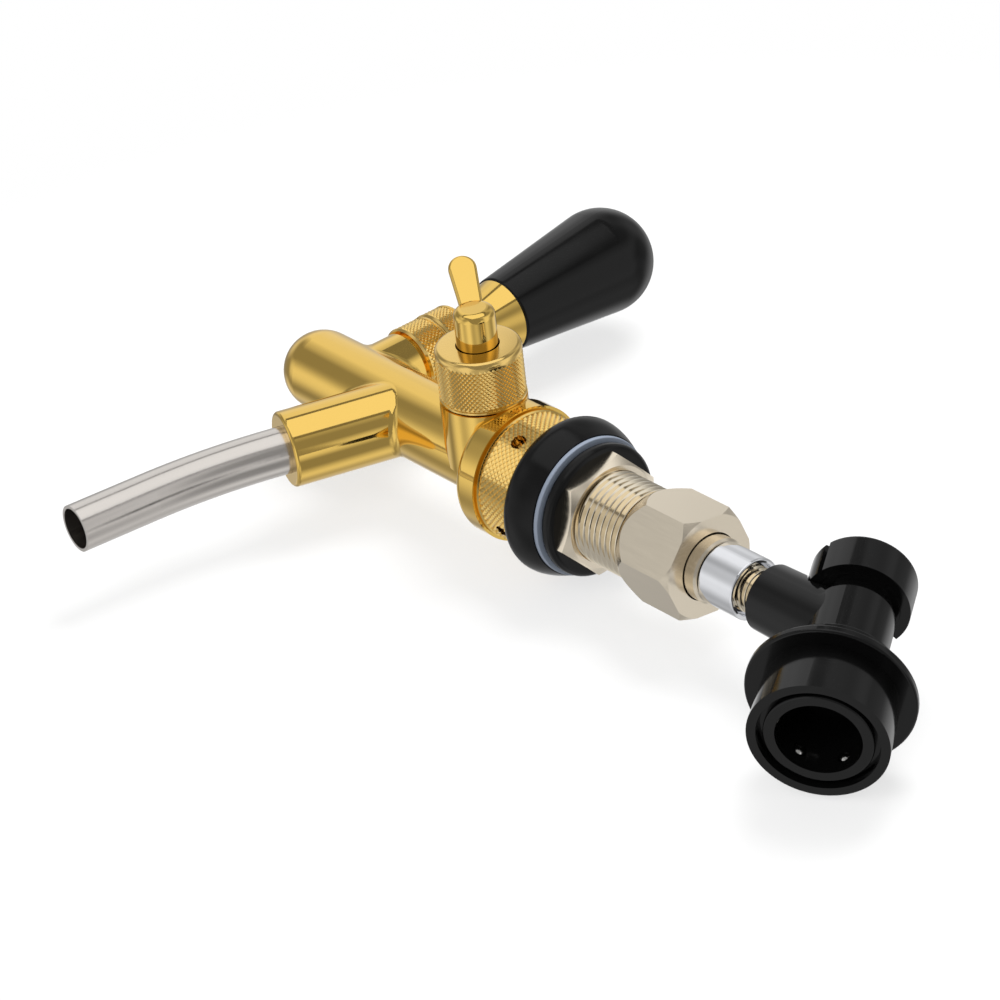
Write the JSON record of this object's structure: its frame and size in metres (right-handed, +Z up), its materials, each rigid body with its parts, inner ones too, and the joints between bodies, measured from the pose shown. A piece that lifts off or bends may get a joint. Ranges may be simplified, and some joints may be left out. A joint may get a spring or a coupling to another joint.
{
  "type": "beer faucet",
  "caption": "Beer faucet with a tapered lever handle, bent spout, side flow control, threaded wall shank and a push-on keg disconnect behind it.",
  "frame": {"origin": "on the shank's axis, at the rear face of the front rubber washer, where the wall or tower it clamps to would start", "axes": "+Y along the shank to the rear, +Z up along the handle, +X to the flow lever's side"},
  "size_m": [0.0684, 0.2265, 0.1831],
  "materials": {
    "gold": "polished",
    "steel": "brushed",
    "nickel": "satin",
    "chrome": "polished",
    "black_plastic": "gloss",
    "rubber": "matte",
    "grey_plastic": "matte",
    "white_plastic": "satin"
  },
  "bodies": {
    "tap": {"faucet_body": "gold", "spout_tube": "steel", "spout_o_ring": "rubber", "ball_seat": "white_plastic", "lever_collar": "gold", "friction_washer": "white_plastic", "lever_lock_ring": "gold", "flow_cap": "gold", "shank": "nickel", "shank_gasket": "grey_plastic", "shank_collar": "gold", "wall_washer_front": "rubber", "wall_washer_middle": "grey_plastic", "wall_washer_rear": "rubber", "lock_nut": "nickel", "tailpiece": "nickel", "tailpiece_gasket": "grey_plastic"},
    "lever": {"lever_shaft": "steel", "handle_ferrule": "gold", "handle_grip": "black_plastic", "handle_insert": "nickel"},
    "valve": {"valve_plunger": "steel", "valve_seal": "rubber", "valve_nut": "nickel"},
    "flow_spindle": {"flow_spindle": "steel", "flow_spindle_o_ring": "rubber", "flow_lever": "gold"},
    "compensator": {"compensator_cone": "white_plastic"},
    "coupling_nut": {"coupling_nut": "nickel"},
    "swivel_sleeve": {"swivel_sleeve": "chrome"},
    "disconnect": {"thread_stub": "nickel", "disconnect_body": "black_plastic", "disconnect_cap": "black_plastic", "cap_o_ring": "rubber", "locking_balls": "steel", "retaining_ring": "black_plastic", "release_spring": "steel", "poppet_spring": "steel"},
    "release_sleeve": {"release_sleeve": "black_plastic"},
    "poppet": {"poppet": "steel", "poppet_seal": "rubber"}
  },
  "joints": [
    {"name": "lever_tilt", "type": "hinge", "parent": "tap", "child": "lever", "pos_m": [0, -0.085, 0.022], "axis": [1, 0, 0], "range_deg": [0, 18]},
    {"name": "valve_slide", "type": "slide", "parent": "tap", "child": "valve", "axis": [0, 1, 0], "range_m": [0, 0.0056]},
    {"name": "flow_turn", "type": "hinge", "parent": "tap", "child": "flow_spindle", "pos_m": [0, -0.0353, 0], "axis": [1, 0, 0], "range_deg": [-45, 45]},
    {"name": "compensator_slide", "type": "slide", "parent": "tap", "child": "compensator", "axis": [0, 1, 0], "range_m": [-0.0013, 0.0013]},
    {"name": "coupling_nut_turn", "type": "hinge", "parent": "tap", "child": "coupling_nut", "pos_m": [0, 0.0316, 0], "axis": [0, 1, 0], "continuous": true},
    {"name": "sleeve_turn", "type": "hinge", "parent": "tap", "child": "swivel_sleeve", "pos_m": [0, 0.0504, 0], "axis": [0, 1, 0], "continuous": true},
    {"name": "disconnect_turn", "type": "hinge", "parent": "tap", "child": "disconnect", "pos_m": [0, 0.0504, 0], "axis": [0, 1, 0], "continuous": true},
    {"name": "release_slide", "type": "slide", "parent": "disconnect", "child": "release_sleeve", "axis": [0.1263, -0.5505, 0.8252], "range_m": [0, 0.0035], "stiffness_N_per_m": 800, "springref_m": -0.002, "deforming": ["release_spring"]},
    {"name": "poppet_slide", "type": "slide", "parent": "disconnect", "child": "poppet", "axis": [0.1263, -0.5505, 0.8252], "range_m": [0, 0.003], "stiffness_N_per_m": 500, "springref_m": -0.002, "deforming": ["poppet_spring"]}
  ],
  "couplings": [
    {"joint": "valve_slide", "follows": "lever_tilt", "m_per_rad": 0.0172},
    {"joint": "compensator_slide", "follows": "flow_turn", "m_per_rad": -0.0016}
  ]
}
